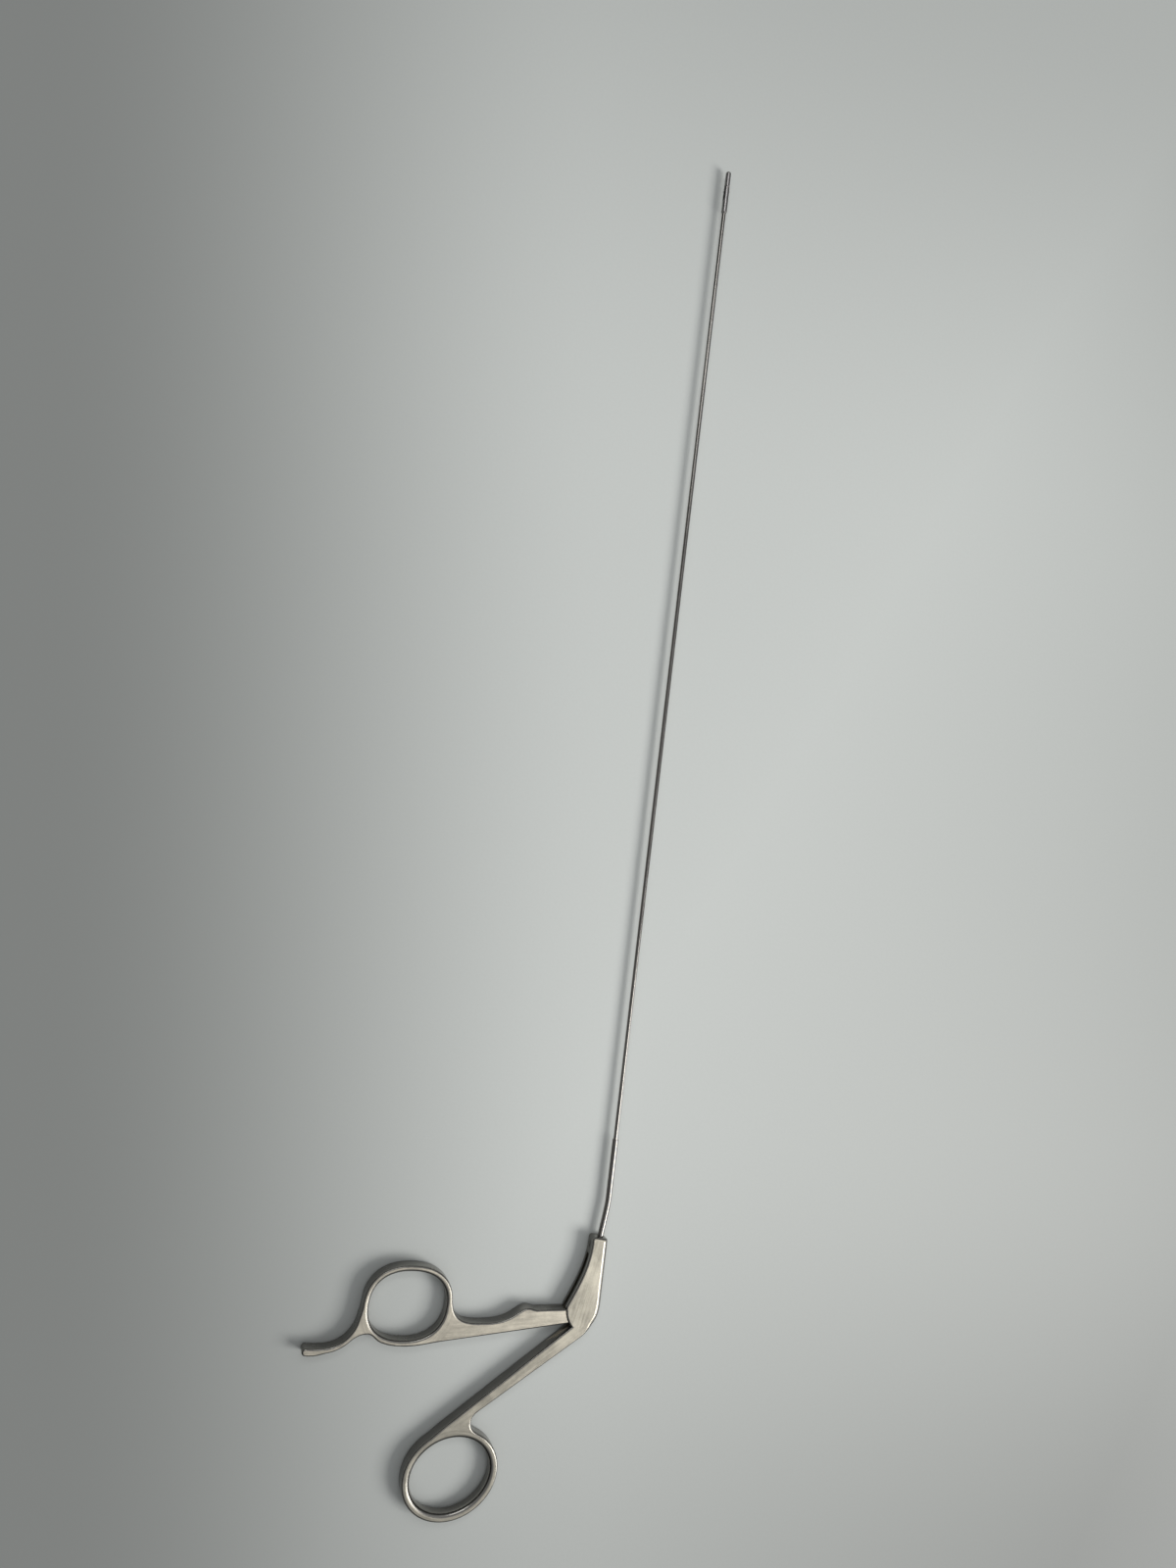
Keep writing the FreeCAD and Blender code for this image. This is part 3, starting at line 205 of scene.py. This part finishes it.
class NodeKit:
    """Short ways to build nodes in one tree."""

    def __init__(self, tree):
        self.nodes = tree.nodes
        self.links = tree.links

    def add(self, kind, **settings):
        node = self.nodes.new(kind)
        for key, value in settings.items():
            setattr(node, key, value)
        return node

    def split(self, vector):
        """X, Y and Z of a vector."""
        node = self.add("ShaderNodeSeparateXYZ")
        self.links.new(vector, node.inputs["Vector"])
        return node.outputs

    def stacked(self, x, y, z):
        node = self.add("ShaderNodeCombineXYZ")
        for socket, value in zip(node.inputs, (x, y, z)):
            self.links.new(value, socket)
        return node.outputs["Vector"]

    def noise(self, vector, scale=1.0, detail=3.0, roughness=0.55):
        node = self.add("ShaderNodeTexNoise")
        self.links.new(vector, node.inputs["Vector"])
        for name, number in (("Scale", scale), ("Detail", detail), ("Roughness", roughness)):
            node.inputs[name].default_value = number
        return node.outputs["Fac"]

    def remap(self, value, low, high, out_low, out_high, smooth=False):
        node = self.add("ShaderNodeMapRange", interpolation_type="SMOOTHSTEP" if smooth else "LINEAR")
        self.links.new(value, node.inputs["Value"])
        for name, number in (("From Min", low), ("From Max", high),
                             ("To Min", out_low), ("To Max", out_high)):
            node.inputs[name].default_value = number
        return node.outputs["Result"]

    def math(self, operation, first, second=None):
        """Result of an operation on links or plain numbers."""
        node = self.add("ShaderNodeMath", operation=operation)
        for socket, value in zip(node.inputs, (first, second)):
            if value is None:
                continue
            if isinstance(value, (int, float)):
                socket.default_value = value
            else:
                self.links.new(value, socket)
        return node.outputs["Value"]

    def weigh(self, values, shares):
        """Sum of the values, each times its share."""
        total, *rest = [self.math("MULTIPLY", value, share) for value, share in zip(values, shares)]
        for part in rest:
            total = self.math("ADD", total, part)
        return total

    def fade(self, factor, first, second):
        """Mix of two numbers."""
        return self.math("ADD", self.math("MULTIPLY", factor, second),
                         self.math("MULTIPLY", self.math("SUBTRACT", 1.0, factor), first))

    def blend(self, factor, first, second):
        """Mix of two colours, each a link or a plain colour."""
        node = self.add("ShaderNodeMix", data_type="RGBA")
        self.links.new(factor, node.inputs["Factor"])
        for name, value in (("A", first), ("B", second)):
            socket = next(s for s in node.inputs if s.name == name and s.type == "RGBA")
            if isinstance(value, (tuple, list)):
                socket.default_value = (*value[:3], 1.0)
            else:
                self.links.new(value, socket)
        return next(s for s in node.outputs if s.type == "RGBA")

    def tones(self, factor, colour, dark_and_pale):
        """Mix of a darker and a paler tone of one colour."""
        dark, pale = dark_and_pale
        return self.blend(factor, shade(colour, dark), shade(colour, pale))


class Recipe(NodeKit):
    """One procedural material under construction."""

    def __init__(self, name):
        self.material = bpy.data.materials.new(name)
        self.material.use_nodes = True
        super().__init__(self.material.node_tree)
        self.shader = self.nodes["Principled BSDF"]
        self.place = self.add("ShaderNodeTexCoord").outputs["Object"]

    def mapped(self, stretch, turn=0.0):
        """Object coordinates turned about +Z and scaled, in 1/m."""
        mapping = self.add("ShaderNodeMapping", vector_type="TEXTURE")
        mapping.inputs["Rotation"].default_value = (0, 0, turn)
        mapping.inputs["Scale"].default_value = [1 / value for value in stretch]
        self.links.new(self.place, mapping.inputs["Vector"])
        return mapping.outputs["Vector"]

    def round_about(self, centre):
        """Distance from a vertical axis and the place along the circle round it, both in metres."""
        away = self.add("ShaderNodeVectorMath", operation="SUBTRACT")
        self.links.new(self.place, away.inputs[0])
        away.inputs[1].default_value = (*centre, 0)
        x, y = self.split(away.outputs["Vector"])[:2]
        squares = self.math("ADD", self.math("MULTIPLY", x, x), self.math("MULTIPLY", y, y))
        along = self.math("MULTIPLY", self.math("ARCTAN2", y, x), RING_RADIUS)
        return self.math("SQRT", squares), along

    def clouded_gloss(self, clouds, roughness, swing):
        """Roughness that the clouds lower and raise."""
        lower, higher = swing
        return self.remap(clouds, *CLOUD_RANGE, roughness - lower, roughness + higher)

    def lined_gloss(self, lines, swing):
        """Change of the roughness along the lines."""
        return self.remap(lines, *LINE_RANGE, -swing, swing)

    def set_metal(self, colour, roughness):
        """Metal of the linked colour and roughness."""
        self.links.new(colour, self.shader.inputs["Base Color"])
        self.links.new(roughness, self.shader.inputs["Roughness"])
        self.shader.inputs["Metallic"].default_value = 1.0

    def bump(self, height, depth, strength=1.0):
        node = self.add("ShaderNodeBump")
        self.links.new(height, node.inputs["Height"])
        node.inputs["Distance"].default_value = depth
        node.inputs["Strength"].default_value = strength
        self.links.new(node.outputs["Normal"], self.shader.inputs["Normal"])


def shade(colour, factor):
    return tuple(channel * factor for channel in colour)


def put_on(material, *names):
    """The material on the given nodes of the frame."""
    for name in names:
        mesh = NODES[name].data
        mesh.materials.clear()
        mesh.materials.append(material)


def brushed_steel(name, colour, roughness, depth, fineness):
    """Steel with fine lines along one direction, cloudy tone and small variations of gloss."""
    recipe = Recipe(name)
    lines = recipe.noise(recipe.mapped(fineness), detail=4.0, roughness=0.6)
    bands = recipe.noise(recipe.mapped(SMALL_BANDS), detail=2.0)
    clouds = recipe.noise(recipe.place, scale=SMALL_CLOUDS, detail=4.0, roughness=0.6)
    tone = recipe.remap(recipe.weigh((bands, clouds), SMALL_SHARES), *CLOUD_RANGE, 0.0, 1.0)
    gloss = recipe.math("ADD", recipe.lined_gloss(lines, LINE_GLOSS),
                        recipe.clouded_gloss(clouds, roughness, CLOUD_GLOSS))
    recipe.set_metal(recipe.tones(tone, colour, SMALL_TONES), gloss)
    recipe.bump(lines, depth)
    return recipe.material


def streaks(recipe, fineness, turns, ring, seam):
    """Lines along the stock in two directions that meet at the seam, and round the ring along its rim."""
    along, across = fineness
    upper, lower = [recipe.noise(recipe.mapped((along, across, across), turn)) for turn in turns]
    reach, rim = recipe.round_about(ring)
    y, height = recipe.split(recipe.place)[1:]
    rim_lines = recipe.noise(recipe.stacked(recipe.math("MULTIPLY", rim, along),
                                            recipe.math("MULTIPLY", reach, across),
                                            recipe.math("MULTIPLY", height, across)))
    above = recipe.remap(y, seam - SEAM_HALF, seam + SEAM_HALF, 0.0, 1.0, smooth=True)
    off_ring = recipe.remap(reach, *RIM_END, 0.0, 1.0, smooth=True)
    return recipe.fade(off_ring, rim_lines, recipe.fade(above, lower, upper))


def handle_steel(name, face_colour, steel, turns, ring, seam):
    """Ground faces with long fine scratches, shoulders at their edges darkened as painted shade, and
    smoother sides whose darker colour is partly their finish and partly painted shade.
    """
    recipe = Recipe(name)
    lines = streaks(recipe, FINE_LINES, turns, ring, seam)
    bands = streaks(recipe, BROAD_LINES, turns, ring, seam)
    clouds = recipe.noise(recipe.place, scale=CLOUDS, detail=5.0, roughness=0.62)
    specks = recipe.noise(recipe.place, scale=SPECKS, roughness=0.7)
    tone = recipe.remap(recipe.weigh((bands, clouds, specks), HANDLE_SHARES), *HANDLE_TONE, 0.0, 1.0)
    normal = recipe.add("ShaderNodeNewGeometry").outputs["Normal"]
    upright = recipe.math("ABSOLUTE", recipe.split(normal)[2])
    shoulder = recipe.remap(upright, *SHOULDER_START, 0.0, 1.0, smooth=True)
    flat = recipe.remap(upright, *FACE_START, 0.0, 1.0, smooth=True)
    # Sides in their own colour, which is partly painted shade, with the shoulders darkened further as
    # painted shade
    side = recipe.blend(shoulder, recipe.tones(tone, steel.wall_colour_and_shade, SIDE_TONES),
                        shade(steel.wall_colour_and_shade, SHOULDER_PAINTED_SHADE))
    face_gloss = recipe.math("ADD", recipe.lined_gloss(lines, FACE_LINE_GLOSS),
                             recipe.clouded_gloss(clouds, steel.face_roughness, FACE_CLOUD_GLOSS))
    side_gloss = recipe.clouded_gloss(clouds, steel.wall_roughness, CLOUD_GLOSS)
    edge_gloss = recipe.fade(shoulder, side_gloss, face_gloss)
    recipe.set_metal(recipe.blend(flat, side, recipe.tones(tone, face_colour, FACE_TONES)),
                     recipe.fade(flat, edge_gloss, face_gloss))
    relief = recipe.math("ADD", lines, recipe.math("MULTIPLY", specks, SPECK_DEPTH))
    recipe.bump(relief, steel.brush_depth)
    return recipe.material


class FORCEPS_OT_handles(bpy.types.Operator):
    """Ground and tumbled steel on both handle halves"""

    bl_idname = "forceps.handles"
    bl_label = "Handle halves"

    def execute(self, context):
        steel = context.scene.forceps_steel
        put_on(handle_steel("fixed_handle_satin_steel", steel.fixed_colour, steel, FIXED_LINES,
                            FIXED_RING, FIXED_SEAM), "fixed_handle")
        put_on(handle_steel("moving_handle_satin_steel", steel.moving_lit_colour, steel, MOVING_LINES,
                            MOVING_RING, MOVING_SEAM), "moving_handle")
        return {"FINISHED"}


class FORCEPS_OT_pins(bpy.types.Operator):
    """Ground steel on the pivot, link, jaw and drive pins"""

    bl_idname = "forceps.pins"
    bl_label = "Pins"

    def execute(self, context):
        steel = context.scene.forceps_steel
        material = brushed_steel("pin_ground_steel", steel.fixed_colour, steel.face_roughness,
                                 steel.brush_depth * SMALL_DEPTH, PIN_LINES)
        put_on(material, "pivot_pin", "link_pin", "jaw_pin", "drive_pin")
        return {"FINISHED"}


class FORCEPS_OT_shaft(bpy.types.Operator):
    """Drawn steel on the thin tube and its stiffening sleeve"""

    bl_idname = "forceps.shaft"
    bl_label = "Tube and sleeve"

    def execute(self, context):
        steel = context.scene.forceps_steel
        for node in ("shaft_tube", "sleeve_tube"):
            put_on(brushed_steel(f"{node}_drawn_steel", steel.tube_colour, steel.tube_roughness,
                                 steel.brush_depth * SMALL_DEPTH, TUBE_LINES), node)
        return {"FINISHED"}


class FORCEPS_OT_head(bpy.types.Operator):
    """Hardened steel on the jaw carrier and both jaws"""

    bl_idname = "forceps.head"
    bl_label = "Head and jaws"

    def execute(self, context):
        steel = context.scene.forceps_steel
        for node in ("jaw_carrier", "jaw_left", "jaw_right"):
            put_on(brushed_steel(f"{node}_hard_steel", steel.jaw_colour, steel.jaw_roughness,
                                 steel.brush_depth * SMALL_DEPTH, JAW_LINES), node)
        return {"FINISHED"}


class FORCEPS_OT_drive(bpy.types.Operator):
    """Bright spring steel on the wire and its two ends"""

    bl_idname = "forceps.drive"
    bl_label = "Drive wire and ends"

    def execute(self, context):
        steel = context.scene.forceps_steel
        material = brushed_steel("drive_spring_steel", steel.tube_colour, steel.tube_roughness,
                                 steel.brush_depth * WIRE_DEPTH, WIRE_LINES)
        put_on(material, "drive_wire", "rod_end", "crosshead")
        return {"FINISHED"}


class FORCEPS_OT_stage(bpy.types.Operator):
    """Pale board with painted shade, soft light and the camera"""

    bl_idname = "forceps.stage"
    bl_label = "Stage"

    def execute(self, context):
        scene = context.scene
        stage = scene.forceps_stage
        self.lay_board(scene, stage)
        self.hang_light(scene, "window", (stage.window_size, stage.window_size), stage.window_power,
                        WINDOW_PLACE, WINDOW_TARGET, WINDOW_COLOUR)
        self.hang_light(scene, "edge_light", EDGE_SIDES, stage.edge_power, EDGE_PLACE, EDGE_TARGET)
        self.paint_room(scene, stage)
        self.set_camera(scene, stage)
        scene.view_settings.view_transform = "Standard"
        return {"FINISHED"}

    def lay_board(self, scene, stage):
        half = BOARD_HALF
        mesh = bpy.data.meshes.new("board")
        corners = [(-half, -half, 0), (half, -half, 0), (half, half, 0), (-half, half, 0)]
        mesh.from_pydata(corners, [], [(0, 1, 2, 3)])
        mesh.materials.append(self.laminate(stage.floor_colour))
        floor = bpy.data.objects.new("board", mesh)
        scene.collection.objects.link(floor)

    def laminate(self, colour):
        """Fine-grained board with painted shade: a painted shadow darkens it at the left, and painted
        falloff of light darkens it near, far and beside the lamp.
        """
        recipe = Recipe("board_laminate")
        grain = recipe.noise(recipe.place, scale=BOARD_GRAIN)
        x, y = recipe.split(recipe.place)[:2]
        across = recipe.math("ADD", x, recipe.math("MULTIPLY", y, PICTURE_LEAN))
        # Painted shadow over the left of the board
        left = recipe.remap(across, *BOARD_LEFT_SHADOW, 1.0, 0.0, smooth=True)
        # Painted shade where the light falls off beside the lamp, far and near
        to_lamp = recipe.math("ADD", x, recipe.math("MULTIPLY", y, LAMP_LEAN))
        lamp_side = recipe.remap(to_lamp, *BOARD_LAMP_SIDE_SHADE, 0.0, LAMP_SIDE_PAINTED_SHADE)
        far = recipe.remap(y, *BOARD_FAR_SHADE, 0.0, FAR_PAINTED_SHADE, smooth=True)
        near = recipe.remap(y, *BOARD_NEAR_SHADE, NEAR_PAINTED_SHADE, 0.0, smooth=True)
        painted_shade = recipe.math("ADD", lamp_side, recipe.math("ADD", far, near))
        # The painted falloff darkens the grained board, and the painted shadow then covers its left
        shaded_grain = recipe.blend(painted_shade, recipe.tones(grain, colour, BOARD_GRAIN_TONES), (0, 0, 0))
        recipe.links.new(recipe.blend(left, shaded_grain, shade(colour, BOARD_SHADE)),
                         recipe.shader.inputs["Base Color"])
        recipe.shader.inputs["Roughness"].default_value = BOARD_ROUGHNESS
        recipe.shader.inputs["Specular IOR Level"].default_value = BOARD_SPECULAR
        recipe.bump(grain, BOARD_GRAIN_DEPTH, BOARD_GRAIN_STRENGTH)
        return recipe.material

    def hang_light(self, scene, name, sides, power, place, target, colour=(1.0, 1.0, 1.0)):
        """Rectangular light at a place, turned to a target."""
        lamp = bpy.data.lights.new(name, "AREA")
        lamp.shape = "RECTANGLE"
        lamp.size, lamp.size_y = sides
        lamp.energy = power
        lamp.color = colour
        light = bpy.data.objects.new(name, lamp)
        light.location = place
        light.rotation_euler = (Vector(target) - light.location).to_track_quat("-Z", "Y").to_euler()
        scene.collection.objects.link(light)

    def paint_room(self, scene, stage):
        """World that is bright overhead and dark low down, most of all on the left."""
        world = scene.world or bpy.data.worlds.new("room")
        scene.world = world
        world.use_nodes = True
        kit = NodeKit(world.node_tree)
        x, _, z = kit.split(kit.add("ShaderNodeTexCoord").outputs["Generated"])
        dark_side = kit.remap(z, *DARK_SIDE_RISE, smooth=True)
        light_side = kit.remap(z, *LIGHT_SIDE_RISE, smooth=True)
        side = kit.remap(x, *ROOM_SIDES, 0.0, 1.0, smooth=True)
        strength = kit.math("MULTIPLY", kit.fade(side, dark_side, light_side), stage.sky_strength)
        # The camera itself sees an even pale room
        seen = kit.add("ShaderNodeLightPath").outputs["Is Camera Ray"]
        background = kit.nodes["Background"]
        kit.links.new(kit.fade(seen, strength, ROOM_SEEN), background.inputs["Strength"])
        background.inputs["Color"].default_value = ROOM_COLOUR

    def set_camera(self, scene, stage):
        lens = bpy.data.cameras.new("camera")
        lens.sensor_fit = "AUTO"
        lens.sensor_width = SENSOR_WIDTH
        lens.lens = stage.camera_lens
        lens.clip_start = NEAREST_SEEN
        camera = bpy.data.objects.new("camera", lens)
        camera.location = (CAMERA_X, CAMERA_Y, stage.camera_height)
        camera.rotation_euler = Euler((0, stage.camera_tilt, stage.camera_turn), "XYZ")
        scene.collection.objects.link(camera)
        scene.camera = camera


class FORCEPS_PT_panel(bpy.types.Panel):
    """Sidebar panel with the finishes and the stage"""

    bl_idname = "FORCEPS_PT_panel"
    bl_label = "Grasping Forceps"
    bl_space_type = "VIEW_3D"
    bl_region_type = "UI"
    bl_category = "Forceps"

    def draw(self, context):
        layout = self.layout
        for settings in (context.scene.forceps_steel, context.scene.forceps_stage):
            box = layout.box()
            for name in settings.__annotations__:
                box.prop(settings, name)
        for operator in OPERATORS:
            layout.operator(operator.bl_idname)


OPERATORS = (FORCEPS_OT_handles, FORCEPS_OT_pins, FORCEPS_OT_shaft, FORCEPS_OT_head, FORCEPS_OT_drive,
             FORCEPS_OT_stage)
CLASSES = (ForcepsSteel, ForcepsStage, *OPERATORS, FORCEPS_PT_panel)


def register():
    for item in CLASSES:
        bpy.utils.register_class(item)
    bpy.types.Scene.forceps_steel = PointerProperty(type=ForcepsSteel)
    bpy.types.Scene.forceps_stage = PointerProperty(type=ForcepsStage)


def unregister():
    del bpy.types.Scene.forceps_stage
    del bpy.types.Scene.forceps_steel
    for item in reversed(CLASSES):
        bpy.utils.unregister_class(item)


def main():
    register()
    bpy.ops.forceps.handles()
    bpy.ops.forceps.pins()
    bpy.ops.forceps.shaft()
    bpy.ops.forceps.head()
    bpy.ops.forceps.drive()
    bpy.ops.forceps.stage()


if __name__ == "__main__":
    main()
